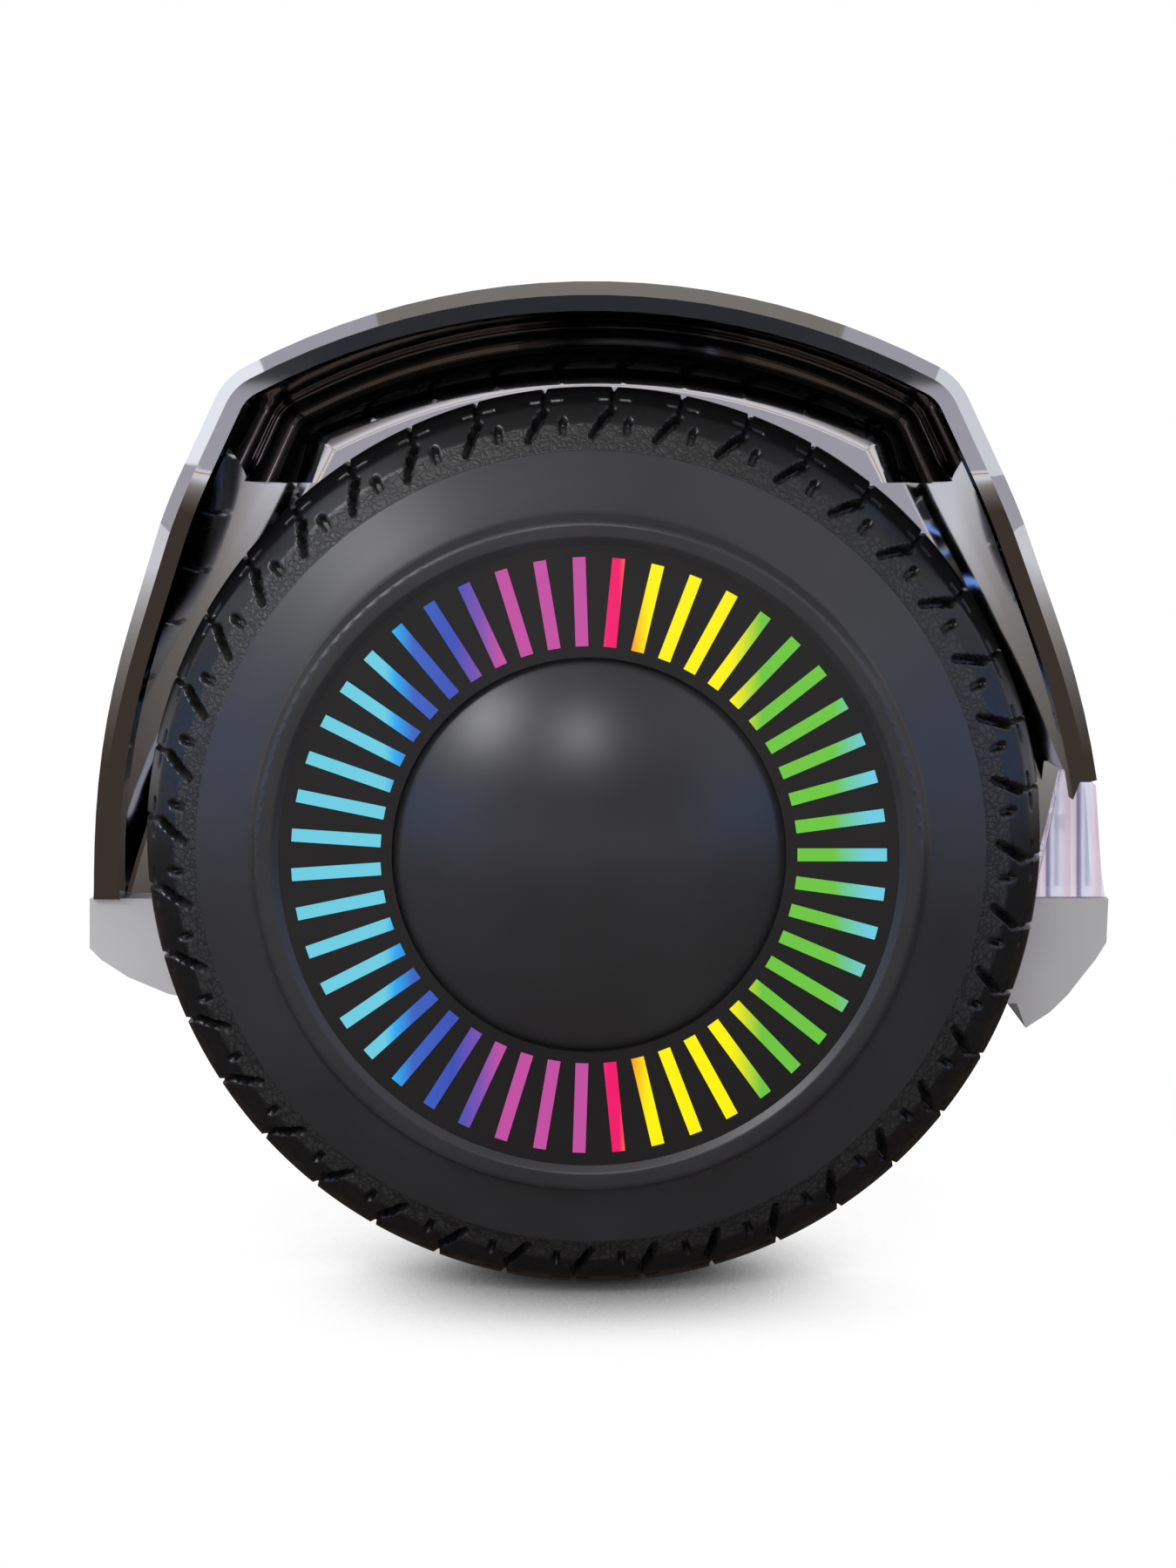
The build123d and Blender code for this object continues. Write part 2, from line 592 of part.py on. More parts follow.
with BuildPart() as stator:
    ring(256.5, 267.5, CORE_BORE_R, AXLE_R)
    with BuildSketch(across(251)):
        Circle(CORE_R)
        Circle(CORE_BORE_R, mode=Mode.SUBTRACT)
        with PolarLocations((CORE_R + TOOTH_R) / 2, TOOTH_COUNT):
            Rectangle(TOOTH_R - CORE_R + 2, 4.2)
    extrude(amount=22)
    with BuildSketch(across(251)) as tips:
        Circle(STATOR_R)
        Circle(TOOTH_R, mode=Mode.SUBTRACT)
        with PolarLocations((STATOR_R + TOOTH_R) / 2, TOOTH_COUNT, start_angle=180 / TOOTH_COUNT):
            Rectangle(STATOR_R - TOOTH_R + 2, 2.6, mode=Mode.SUBTRACT)
    extrude(tips.sketch, amount=22)

save_pair(stator, "stator")

with BuildPart() as windings:
    with BuildSketch(across(249)):
        with PolarLocations(42.5, TOOTH_COUNT):
            Rectangle(10, 7.2)
    extrude(amount=26)
    with BuildSketch(across(251)):
        with PolarLocations(42.5, TOOTH_COUNT):
            Rectangle(12, 4.2)
    extrude(amount=22, mode=Mode.SUBTRACT)

save_pair(windings, "windings")

with BuildPart() as magnets:
    ring(250, 274, MAGNET_R1, MAGNET_R0)
    with BuildSketch(across(249)):
        with PolarLocations((MAGNET_R0 + MAGNET_R1) / 2, MAGNET_COUNT):
            Rectangle(MAGNET_R1 - MAGNET_R0 + 2, 1)
    extrude(amount=26, mode=Mode.SUBTRACT)

save_pair(magnets, "magnets")

with BuildPart() as rim:
    ring(RIM_X0, RIM_X1, RIM_R, MAGNET_R1)
    ring(RIM_X1 - DISC, RIM_X1, RIM_R - 1, BEARING_R)
    ring(RIM_X1 - BEARING_WIDTH, RIM_X1, HUB_R, BEARING_R)
    for groove_x in (WHEEL_X - 7, WHEEL_X + 7):
        ring(groove_x - 1.5, groove_x + 1.5, RIM_R + 1.5, RIM_R - 1)

save_pair(rim, "rim")

with BuildPart() as motor_cover:
    ring(RIM_X0, RIM_X0 + DISC, MAGNET_R1, BEARING_R)
    ring(RIM_X0, RIM_X0 + BEARING_WIDTH, HUB_R, BEARING_R)
    with BuildSketch(across(RIM_X0)):
        with PolarLocations(50, 6):
            Circle(1.6)
    extrude(amount=1.2, mode=Mode.SUBTRACT)

save_pair(motor_cover, "motor_cover")

with BuildPart() as bearings:
    for x in (RIM_X0, RIM_X1 - BEARING_WIDTH):
        ring(x, x + BEARING_WIDTH, BEARING_R, AXLE_R + RUNNING_GAP)

save_pair(bearings, "bearings")

with BuildPart() as tyre:
    with BuildSketch(SPIN) as tyre_section:
        with BuildLine():
            bead = Polyline((WHEEL_X, RIM_R), (RIM_X1, RIM_R), (WHEEL_X + 19.5, 64),
                            (WHEEL_X + 19.5, 69.4))
            wall = ThreePointArc(bead @ 1, (WHEEL_X + 18.4, 72.6), (WHEEL_X + 16.4, 74.6))
            shoulder = ThreePointArc(wall @ 1, (WHEEL_X + 13.6, 78.6), (WHEEL_X + 8.5, 81.7))
            crown = ThreePointArc(shoulder @ 1, (WHEEL_X + 4.3, 82.35), (WHEEL_X, TYRE_RADIUS))
            Line(crown @ 1, bead @ 0)
        make_face()
        mirror(about=Plane.YZ.offset(WHEEL_X))
    revolve(tyre_section.sketch, axis=AXIS)
    add(rim.part, mode=Mode.SUBTRACT)

save_pair(tyre, "tyre")

# %% Wheel trim: cover, slotted face, light bars, their board and the domed cap
with BuildPart() as wheel_cover:
    with BuildSketch(SPIN) as cover_section:
        with BuildLine():
            Polyline((281.7, 69.8), (283.2, 69.6), (289.6, 58.6), (293.4, 57.0), (293.4, 54.4),
                     (FACE_X1, FACE_R), (FACE_X0, FACE_R), (FACE_X0, LEDGE_R), (288, LEDGE_R),
                     (288, 54), (286, 56), (286, 57.6), (RIM_X1, 57.6), (RIM_X1, 60), (284.4, 60),
                     (281.7, 65.5), close=True)
        make_face()
        for corner, radius in {(289.6, 58.6): 2.5, (293.4, 57.0): 1.2, (293.4, 54.4): 0.8}.items():
            fillet(cover_section.vertices().sort_by_distance(corner)[0], radius)
    revolve(cover_section.sketch, axis=AXIS)

save_pair(wheel_cover, "wheel_cover")


def bar_outlines(x):
    """The light bars seen along the axle."""
    with BuildSketch(across(x)) as outlines:
        with PolarLocations((BAR_R0 + BAR_R1) / 2, BAR_COUNT, BAR_START):
            Rectangle(BAR_R1 - BAR_R0, BAR_WIDTH)
    return outlines.sketch


with BuildPart() as light_face:
    ring(FACE_X0, FACE_X1, FACE_R, DOME_R)
    extrude(bar_outlines(FACE_X0), amount=FACE_X1 - FACE_X0, mode=Mode.SUBTRACT)

save_pair(light_face, "light_face")

with BuildPart() as light_bars:
    extrude(bar_outlines(FACE_X0), amount=FACE_X1 - FACE_X0 + 0.1)

save_pair(light_bars, "light_bars")

with BuildPart() as light_board:
    ring(288 - BOARD, 288, BOARD_R, DOME_R)
    with BuildSketch(across(288)):
        with PolarLocations((BAR_R0 + BAR_R1) / 2, BAR_COUNT, BAR_START):
            Rectangle(3, 3)
    extrude(amount=0.9)

save_pair(light_board, "light_board")

with BuildPart() as hub_cap:
    for depth, mode in ((0, Mode.ADD), (DOME_WALL, Mode.SUBTRACT)):
        edge_r, sphere_r = DOME_R - depth, DOME_SPHERE_R - depth
        with BuildSketch(SPIN) as dome_section:
            with BuildLine():
                dome = CenterArc((DOME_X - DOME_SPHERE_R, 0), sphere_r, 0,
                                 degrees(asin(edge_r / sphere_r)))
                Polyline(dome @ 1, (RIM_X1, edge_r), (RIM_X1, 0), dome @ 0)
            make_face()
        revolve(dome_section.sketch, axis=AXIS, mode=mode)

save_pair(hub_cap, "hub_cap")

# %% Electronics: sensor boards, battery and controller
with BuildPart() as sensor_board:
    box_between((BOARD_X0, -BOARD_Y, BOARD_Z), (BOARD_X1, BOARD_Y, BOARD_Z + BOARD))
    box_between((112, -5, BOARD_Z + BOARD), (122, 5, BOARD_Z + BOARD + 1.5))
    for side in (-1, 1):
        for x in (POST_X - 13, POST_X + 13):
            box_between((x - 2, POST_Y * side - 5, BOARD_Z + BOARD),
                        (x + 2, POST_Y * side + 5, BOARD_Z + BOARD + 5))

save_pair(sensor_board, "sensor_board")

with BuildPart() as battery_cells:
    for x in (92.5, 157.5):
        with BuildSketch(Plane.YZ.offset(x - CELL_LENGTH / 2)):
            with Locations((0, CELL_Z)):
                with GridLocations(CELL_PITCH, CELL_PITCH, 5, 2):
                    Circle(CELL_R)
        extrude(amount=CELL_LENGTH)

save(battery_cells, "battery_cells")

with BuildPart() as battery_case:
    box_between((58, -48, 42.5), (192, 48, RIB_Z))
    fillet(battery_case.edges().filter_by(Axis.X), 4)
    box_between((59.6, -46.4, CELL_Z - 18.6), (190.4, 46.4, CELL_Z + 18.6), Mode.SUBTRACT)

save(battery_case, "battery_case")

with BuildPart() as control_board:
    box_between((-184, -42, 56), (-76, 42, 56 + BOARD))
    for x in (-180, -90):
        for y in (-38, 38):
            post(x, y, 56, PLATE_Z0, 3)
    for x in (-165, -150):
        post(x, 24, 57, 78, 6.5)
    for i in range(6):
        box_between((-172 + 15 * i, -33, 57), (-162 + 15 * i, -28, 72))
    box_between((-176, -28, 57), (-84, -22, 74))
    for i in range(5):
        box_between((-140 + 11 * i, 26, 57), (-132 + 11 * i, 34, 66))

save(control_board, "control_board")

# %% Power button, charging socket and its hinged cap
with BuildPart() as power_button:
    with BuildSketch(rear_plane(BUTTON_X, BUTTON_FACE_Y + BUTTON_PROUD)):
        Circle(BUTTON_R)
    extrude(amount=-(BUTTON_PROUD + BOSS_DEPTH + 0.5))
    fillet(power_button.faces().sort_by(Axis.Y)[-1].edges(), 0.8)
    with BuildSketch(rear_plane(BUTTON_X, BUTTON_FACE_Y - BOSS_DEPTH - 0.5)):
        Circle(8.5)
    extrude(amount=-1.6)

save(power_button, "power_button")

with BuildPart() as charge_socket:
    with BuildSketch(rear_plane(SOCKET_X, SOCKET_FACE_Y - 0.4)):
        Circle(SOCKET_R)
    extrude(amount=-18)
    with BuildSketch(rear_plane(SOCKET_X, SOCKET_FACE_Y - BOSS_DEPTH)):
        Circle(10)
    extrude(amount=-3)
    with BuildSketch(rear_plane(SOCKET_X, SOCKET_FACE_Y - 0.4)):
        Circle(SOCKET_BORE_R)
    extrude(amount=-SOCKET_DEPTH, mode=Mode.SUBTRACT)
    with BuildSketch(rear_plane(SOCKET_X, SOCKET_FACE_Y - 0.4 - SOCKET_DEPTH)):
        with PolarLocations(3, 3, start_angle=90):
            Circle(PIN_R)
    extrude(amount=PIN_LENGTH)

save(charge_socket, "charge_socket")

with BuildPart() as charge_cap:
    with BuildSketch(rear_plane(SOCKET_X, SOCKET_FACE_Y + 0.2)):
        Circle(CAP_R)
    extrude(amount=CAP)
    fillet(charge_cap.faces().sort_by(Axis.Y)[-1].edges(), 0.8)
    with BuildSketch(rear_plane(SOCKET_X, SOCKET_FACE_Y + 0.2)):
        Circle(PLUG_R)
    extrude(amount=-PLUG)
    with Locations(Location((SOCKET_X, CAP_HINGE_Y, CAP_HINGE_Z), (0, 90, 0))):
        Cylinder(1.2, 8)
    box_between((SOCKET_X - 4, CAP_HINGE_Y - 0.9, CAP_HINGE_Z), (SOCKET_X + 4, CAP_HINGE_Y + 0.4, 70))

save(charge_cap, "charge_cap")
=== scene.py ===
# %% [markdown]
# # A self balancing board with mirrored chrome fenders and lit wheels
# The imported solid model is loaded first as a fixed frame. Every piece below
# is put where that frame says, so nothing has to be fitted by eye.

import json
from math import radians

import bpy
import numpy as np
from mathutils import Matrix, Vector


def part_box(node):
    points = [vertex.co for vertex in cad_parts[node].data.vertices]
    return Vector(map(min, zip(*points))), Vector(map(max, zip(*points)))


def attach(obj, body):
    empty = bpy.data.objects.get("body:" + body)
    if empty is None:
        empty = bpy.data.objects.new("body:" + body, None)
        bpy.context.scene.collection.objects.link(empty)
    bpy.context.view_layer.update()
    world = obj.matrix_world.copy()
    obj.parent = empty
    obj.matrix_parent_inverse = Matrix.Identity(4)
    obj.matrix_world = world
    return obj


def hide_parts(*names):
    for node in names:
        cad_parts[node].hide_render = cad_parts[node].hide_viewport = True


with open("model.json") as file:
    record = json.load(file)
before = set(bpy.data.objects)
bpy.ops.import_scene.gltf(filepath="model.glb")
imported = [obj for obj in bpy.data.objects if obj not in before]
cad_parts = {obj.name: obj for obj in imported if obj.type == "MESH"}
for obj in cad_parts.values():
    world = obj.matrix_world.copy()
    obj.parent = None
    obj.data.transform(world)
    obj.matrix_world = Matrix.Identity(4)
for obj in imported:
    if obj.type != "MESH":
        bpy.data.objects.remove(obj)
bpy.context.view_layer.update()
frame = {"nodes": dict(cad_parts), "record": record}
BODY_OF = {node: body for body, nodes in
           frame["record"]["behaviour"]["bodies"].items() for node in nodes}
SLOT_OF = {part["node"]: part["material_slot"]
           for part in frame["record"]["subparts"]}

# %% [markdown]
# Every length below is written in millimetres, as a maker would say it, and
# turned to metres by one factor. Wheel positions are read from the frame.

# %% Units and wheel positions
MM = 0.001
SIDES = {"left": 1.0, "right": -1.0}


def middle(node):
    """The middle of a node's box: the mean of its two corners."""
    low, high = (np.array(corner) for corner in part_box(node))
    return (low + high) / 2


AXLE_HEIGHT = middle("right_tyre")[2]
WHEEL_X = abs(middle("right_tyre")[0])
print("axle", round(AXLE_HEIGHT / MM, 1), "wheel", round(WHEEL_X / MM, 1))

# %% [markdown]
# ## The camera
# The board is seen from one end, a hand's breadth above the axle, and from
# close by, so the near fender looks much larger than the far one. The
# camera is level, and its window is shifted down instead of tilting it,
# which keeps the upright edges upright.

# %% Camera
view = bpy.data.cameras.new("view")
view.lens, view.sensor_width = 43.8, 36.0
view.shift_x, view.shift_y = -0.047, -0.156
camera = bpy.data.objects.new("camera", view)
camera.location = (-0.619, -0.01245, 0.1365)
camera.rotation_euler = (radians(90), 0, radians(-90))
bpy.context.scene.collection.objects.link(camera)
bpy.context.scene.camera = camera
print("camera", tuple(round(v, 3) for v in camera.location))

# %% [markdown]
# ## Colours and nodes
# Finishes are given as sRGB hex values, as on a paint card. The shader works
# with linear light, so one function turns the one into the other. One more
# function adds a node with its settings and its links.

# %% Colour and node helpers


def linear(code):
    """Each channel c is c / 12.92 up to 0.04045, and ((c + 0.055) / 1.055)
    to the power 2.4 above it."""
    c = np.array([int(code[i:i + 2], 16) for i in (1, 3, 5)]) / 255
    c = np.where(c <= 0.04045, c / 12.92, ((c + 0.055) / 1.055) ** 2.4)
    return (*c.tolist(), 1.0)


def add(tree, kind, settings=None, inputs=None, stops=None):
    """Adds a node: its fields, then a value or a link for each socket, then
    the (place, hex) stops of a colour ramp."""
    node = tree.nodes.new("ShaderNode" + kind)
    for field, value in (settings or {}).items():
        setattr(node, field, value)
    for socket, value in (inputs or {}).items():
        if isinstance(value, bpy.types.NodeSocket):
            tree.links.new(value, node.inputs[socket])
        else:
            node.inputs[socket].default_value = value
    if stops:
        elements = node.color_ramp.elements
        while len(elements) < len(stops):
            elements.new(1.0)
        for element, (place, code) in zip(elements, stops):
            element.position, element.color = place, linear(code)
    return node


def finish(name, **values):
    """A material whose shader sockets are set to plain values; an underscore
    in a name stands for a space."""
    material = bpy.data.materials.new(name)
    material.use_nodes = True
    shader = material.node_tree.nodes["Principled BSDF"]
    for socket, value in values.items():
        shader.inputs[socket.replace("_", " ")].default_value = value
    return material, material.node_tree, shader


print("white is", linear("#FFFFFF")[:3])

# %% [markdown]
# ## Moulded and metal finishes
# Two recipes cover most of the board. A moulded plastic copies the tool it
# came from: a fine spark-eroded grain, a slow drift of colour where the melt
# cooled, and a gloss that is never quite even. A metal keeps one colour and
# shows how it was worked, as streaks along one direction.

# %% Recipes for plastic and metal
FINISHES = {}


def moulded(slot, name, dark, light, gloss, grain=0.9, depth=0.02, **values):
    """Plastic or rubber. The colour drifts between dark and light over about
    30 mm, roughness runs over the pair gloss, and grain and depth are the
    width and height of the surface texture, in mm."""
    material, tree, shader = finish(name, **values)
    place = add(tree, "TexCoord").outputs["Object"]
    drift = add(tree, "TexNoise", None,
                {"Vector": place, "Scale": 1 / (30 * MM), "Detail": 2.0})
    colour = add(tree, "ValToRGB", None, {"Fac": drift.outputs["Fac"]},
                 [(0.3, dark), (0.7, light)])
    fine = add(tree, "TexNoise", None,
               {"Vector": place, "Scale": 1 / (grain * MM), "Detail": 3.0})
    polish = add(tree, "MapRange", None,
                 {"Value": drift.outputs["Fac"], "To Min": gloss[0],
                  "To Max": gloss[1]})
    relief = add(tree, "Bump", None,
                 {"Strength": 0.6, "Distance": depth * MM,
                  "Height": fine.outputs["Fac"]})
    tree.links.new(colour.outputs["Color"], shader.inputs["Base Color"])
    tree.links.new(polish.outputs["Result"], shader.inputs["Roughness"])
    tree.links.new(relief.outputs["Normal"], shader.inputs["Normal"])
    FINISHES[slot] = material
    return material, tree, shader


def metal(slot, name, dark, light, gloss, streak=(1, 1, 1), grain=0.6,
          depth=0.01, **values):
    """Worked metal. Streak stretches the grain along an axis: a small number
    there makes long marks, as a brush, a lathe or a casting mould leaves."""
    values.setdefault("Metallic", 1.0)
    material, tree, shader = finish(name, **values)
    place = add(tree, "TexCoord").outputs["Object"]
    along = add(tree, "Mapping", None, {"Vector": place, "Scale": streak})
    marks = add(tree, "TexNoise", None,
                {"Vector": along.outputs["Vector"],
                 "Scale": 1 / (grain * MM), "Detail": 4.0})
    colour = add(tree, "ValToRGB", None, {"Fac": marks.outputs["Fac"]},
                 [(0.35, dark), (0.65, light)])
    polish = add(tree, "MapRange", None,
                 {"Value": marks.outputs["Fac"], "To Min": gloss[0],
                  "To Max": gloss[1]})
    relief = add(tree, "Bump", None,
                 {"Strength": 0.5, "Distance": depth * MM,
                  "Height": marks.outputs["Fac"]})
    tree.links.new(colour.outputs["Color"], shader.inputs["Base Color"])
    tree.links.new(polish.outputs["Result"], shader.inputs["Roughness"])
    tree.links.new(relief.outputs["Normal"], shader.inputs["Normal"])
    FINISHES[slot] = material
    return material, tree, shader


# %% [markdown]
# ### The mirror shell
# The fenders and the deck are ABS with a film of aluminium laid on in a
# vacuum and a clear lacquer over it. The eye gets a true mirror with a very
# slight ripple, because the plastic under it shrank as it cooled.

# %% Vacuum-metallised shell
material, tree, shader = finish(
    "metallised_abs_mirror", Metallic=1.0, Base_Color=linear("#EDEEF1"),
    Coat_Weight=0.3, Coat_Roughness=0.03)
place = add(tree, "TexCoord").outputs["Object"]
ripple = add(tree, "TexNoise", None,
             {"Vector": place, "Scale": 1 / (28 * MM), "Detail": 1.0})
haze = add(tree, "TexNoise", None,
           {"Vector": place, "Scale": 1 / (9 * MM), "Detail": 4.0})
polish = add(tree, "MapRange", None,
             {"Value": haze.outputs["Fac"], "To Min": 0.015, "To Max": 0.07})
relief = add(tree, "Bump", None,
             {"Strength": 0.25, "Distance": 0.25 * MM,
              "Height": ripple.outputs["Fac"]})
tree.links.new(polish.outputs["Result"], shader.inputs["Roughness"])
tree.links.new(relief.outputs["Normal"], shader.inputs["Normal"])
FINISHES["chrome_shell"] = material
print("shell", material.name)

# %% [markdown]
# ### Plastics and rubbers
# The bumpers are a soft matt grey, the wheel cover a satin charcoal, and the
# tray under the deck a coarse dark grain that hides scuffs. Each grain is
# drawn two or three times its real width, so that it shows.

# %% Plastics and rubbers
moulded("charcoal_plastic", "spark_eroded_abs", "#2B2B2D", "#343436",
        (0.5, 0.62), grain=1.1, depth=0.05)
moulded("grey_bumper", "soft_touch_polypropylene", "#BDBDBD", "#C6C6C6",
        (0.62, 0.7), grain=0.8, depth=0.015)
moulded("black_rubber", "moulded_grip_rubber", "#161617", "#1F1F20",
        (0.55, 0.75), grain=0.7, depth=0.04)
moulded("charcoal_trim", "satin_abs_wheel_cover", "#2C2C2E", "#333336",
        (0.34, 0.4), grain=1.4, depth=0.006, Specular_IOR_Level=0.6)
moulded("black_face", "printed_polycarbonate_face", "#1E1C1B", "#232120",
        (0.36, 0.42), grain=1.2, depth=0.004)
moulded("black_dome", "satin_abs_hub_cap", "#2A2A2B", "#313133",
        (0.3, 0.36), grain=1.6, depth=0.004, Specular_IOR_Level=0.6)
moulded("button_plastic", "satin_abs_button", "#1B1B1C", "#242426",
        (0.35, 0.45), grain=0.8, depth=0.01)
moulded("circuit_board", "green_solder_mask", "#123F22", "#1C5A30",
        (0.3, 0.45), grain=2.2, depth=0.03)
print("plastics", sorted(FINISHES))

# %% [markdown]
# ### Metals
# The frame is sand-cast, the axle is turned and the motor's rim is anodised
# dark. Each has the mark of how it was made.

# %% Metals
metal("cast_aluminium", "sand_cast_aluminium", "#A9AAAD", "#BDBEC1",
      (0.45, 0.6), grain=1.2, depth=0.06)
metal("steel", "turned_steel", "#9A9B9D", "#B4B5B7", (0.22, 0.34),
      streak=(6, 0.4, 0.4), grain=1.5)
metal("core_steel", "laminated_core_steel", "#6B6C70", "#85868A",
      (0.35, 0.5), streak=(10, 0.3, 0.3), grain=2.0, depth=0.03)
metal("copper_wire", "enamelled_copper", "#A5522B", "#C97242",
      (0.2, 0.35), streak=(0.4, 6, 6), grain=1.6, depth=0.05)
metal("magnet", "nickel_plated_magnet", "#B2B2B0", "#C6C6C3", (0.15, 0.3))
metal("dark_aluminium", "black_anodised_aluminium", "#29292C", "#36363A",
      (0.32, 0.45), streak=(8, 0.3, 0.3), grain=1.5)
metal("bronze", "sintered_bronze", "#A07A45", "#B98F57", (0.35, 0.55),
      grain=0.8, depth=0.03)
metal("cell_can", "sleeved_cell_can", "#1F5C9E", "#2B6FB5", (0.3, 0.4),
      Metallic=0.0)
print("metals done, finishes", len(FINISHES))

# %% [markdown]
# ### Headlight and indicator
# The lamp is a clear polycarbonate cover over a bright reflector. The
# reflector is pressed with upright flutes about 6 mm apart that spread the
# beam sideways, and its thin hard coat has a pink and blue cast. Over that
# cast each flute carries a painted highlight and painted shade, bright and
# dark bands that stand in for the light on its facets, and they glow faintly.

# %% Lamp finishes


def fluted(slot, name, pitch, depth, stops, **values):
    """A lamp part with upright flutes. Turns is x + y over the pitch, so the
    flutes run across both the front and the end of a lamp. Its fraction runs
    along the colour stops, which paint each flute's bright and dark bands as a
    painted highlight and shade, and the emission glows in the same colours.
    The relief is the sine of that many turns."""
    material, tree, shader = finish(name, **values)
    place = add(tree, "TexCoord").outputs["Object"]
    side = add(tree, "VectorMath", {"operation": "DOT_PRODUCT"},
               {0: place, 1: (1.0, 1.0, 0.0)})
    turns = add(tree, "Math", {"operation": "DIVIDE"},
                {0: side.outputs["Value"], 1: pitch * MM})
    part = add(tree, "Math", {"operation": "FRACT"},
               {0: turns.outputs["Value"]})
    colour = add(tree, "ValToRGB", None, {"Fac": part.outputs["Value"]},
                 stops)
    angle = add(tree, "Math", {"operation": "MULTIPLY"},
                {0: turns.outputs["Value"], 1: 2 * np.pi})
    wave = add(tree, "Math", {"operation": "SINE"},
               {0: angle.outputs["Value"]})
    relief = add(tree, "Bump", None,
                 {"Strength": 1.0, "Distance": depth * MM,
                  "Height": wave.outputs["Value"]})
    tree.links.new(colour.outputs["Color"], shader.inputs["Base Color"])
    # The glow takes the same bands, so the painted highlight and shade glow
    # too.
    tree.links.new(colour.outputs["Color"], shader.inputs["Emission Color"])
    tree.links.new(relief.outputs["Normal"], shader.inputs["Normal"])
    FINISHES[slot] = material
    return material


FLUTE_PITCH = 6.2  # mm
# Colours across one flute: pale tints, then a dark band, then pale again. The
# dark and bright bands are painted shade and highlight of the facets, over a
# pink and blue cast.
FLUTE_COAT_AND_PAINTED_SHINE = [(0.0, "#D9D6DC"), (0.16, "#F1D5DF"), (0.34, "#F2F4FC"),
         (0.62, "#E3ECFC"), (0.7, "#8A8AAE"), (0.78, "#77769C"),
         (0.85, "#F4E8F0"), (1.0, "#F7F4F9")]
fluted("clear_lens", "clear_polycarbonate", FLUTE_PITCH, 0.05, FLUTE_COAT_AND_PAINTED_SHINE,
       Transmission_Weight=0.6, IOR=1.585, Roughness=0.06,
       Emission_Strength=0.16)
fluted("reflector", "coated_reflector", FLUTE_PITCH, 0.2, FLUTE_COAT_AND_PAINTED_SHINE,
       Metallic=0.8, Roughness=0.18, Emission_Strength=0.1)

moulded("indicator", "milky_blue_acrylic", "#2E8FE8", "#4BA6F2",
        (0.15, 0.22), grain=1.5, depth=0.004, Transmission_Weight=0.35,
        Emission_Color=linear("#2E9BFF"), Emission_Strength=0.35)
print("lamps done, finishes", len(FINISHES))

# %% [markdown]
# ### The light bars
# Forty-seven clear bars in the wheel's face are lit from behind, and the
# colours change from side to side: cyan, blue, magenta, red, yellow, green
# and cyan again. The colour follows the bar's place across the wheel, so a
# ramp over the object's own y coordinate gives all bars at once, and the
# boundaries cut through single bars as they do on the real board.

# %% Light bar colours
BAND = 51.0  # mm, reach of the bars to each side of the axle
RAINBOW = [(0.0, "#6CCBE0"), (0.157, "#6CCBE0"), (0.175, "#2AA8F0"),
           (0.205, "#3B62C0"), (0.273, "#3B4FB5"), (0.316, "#7A50B0"),
           (0.353, "#C04FA0"), (0.505, "#C04FA0"), (0.532, "#F0146A"),
           (0.552, "#F0146A"), (0.568, "#FF8A1E"), (0.6, "#FFF200"),
           (0.737, "#FFF200"), (0.79, "#6CC43F"), (0.911, "#6CC43F"),
           (0.97, "#6CCBE0")]
material, tree, shader = finish(
    "lit_acrylic_bar", Base_Color=linear("#101010"), Roughness=0.35,
    Emission_Strength=1.0)
place = add(tree, "TexCoord").outputs["Object"]
axes = add(tree, "SeparateXYZ", None, {"Vector": place})
across = add(tree, "MapRange", None,
             {"Value": axes.outputs["Y"], "From Min": BAND * MM,
              "From Max": -BAND * MM})
colour = add(tree, "ValToRGB", None, {"Fac": across.outputs["Result"]},
             RAINBOW)
tree.links.new(colour.outputs["Color"], shader.inputs["Emission Color"])
FINISHES["light_bar"] = material
print("light bars", len(RAINBOW), "stops")

# %% [markdown]
# ### Tyre rubber
# A tyre's tread comes out of a polished mould and is nearly smooth, while
# the mould's side wall is textured like fine leather. The mesh carries an
# attribute, grain, that is 1 on the side wall and 0 on the tread, and it
# scales the relief. The leather is a crackle with cells of about 1 mm, and
# its colour is darker in the grooves between the cells: painted shade.

# %% Tyre rubber
material, tree, shader = finish("tyre_rubber", Specular_IOR_Level=0.55)
place = add(tree, "TexCoord").outputs["Object"]
grain = add(tree, "Attribute", {"attribute_name": "grain"}).outputs["Fac"]
bend = add(tree, "TexNoise", None,
           {"Vector": place, "Scale": 1 / (2.5 * MM), "Detail": 2.0})
bent = add(tree, "MixRGB", {"blend_type": "LINEAR_LIGHT"},
           {"Fac": 0.0012, "Color1": place, "Color2": bend.outputs["Color"]})
crackle = add(tree, "TexVoronoi", {"feature": "DISTANCE_TO_EDGE"},
              {"Vector": bent.outputs["Color"], "Scale": 1 / (1.25 * MM)})
fine = add(tree, "TexNoise", None,
           {"Vector": place, "Scale": 1 / (0.8 * MM), "Detail": 4.0})
cells = add(tree, "MapRange", None,
            {"Value": crackle.outputs["Distance"], "From Max": 0.25})
height = add(tree, "Math", {"operation": "MULTIPLY_ADD"},
             {0: cells.outputs["Result"], 1: 0.5, 2: fine.outputs["Fac"]})
scaled = add(tree, "Math", {"operation": "MULTIPLY"},
             {0: height.outputs["Value"], 1: grain})
relief = add(tree, "Bump", None,
             {"Strength": 0.8, "Distance": 0.16 * MM,
              "Height": scaled.outputs["Value"]})
polish = add(tree, "MapRange", None,
             {"Value": grain, "To Min": 0.27, "To Max": 0.46})
smooth = add(tree, "ValToRGB", None, {"Fac": fine.outputs["Fac"]},
             [(0.3, "#131314"), (0.7, "#1B1B1C")])
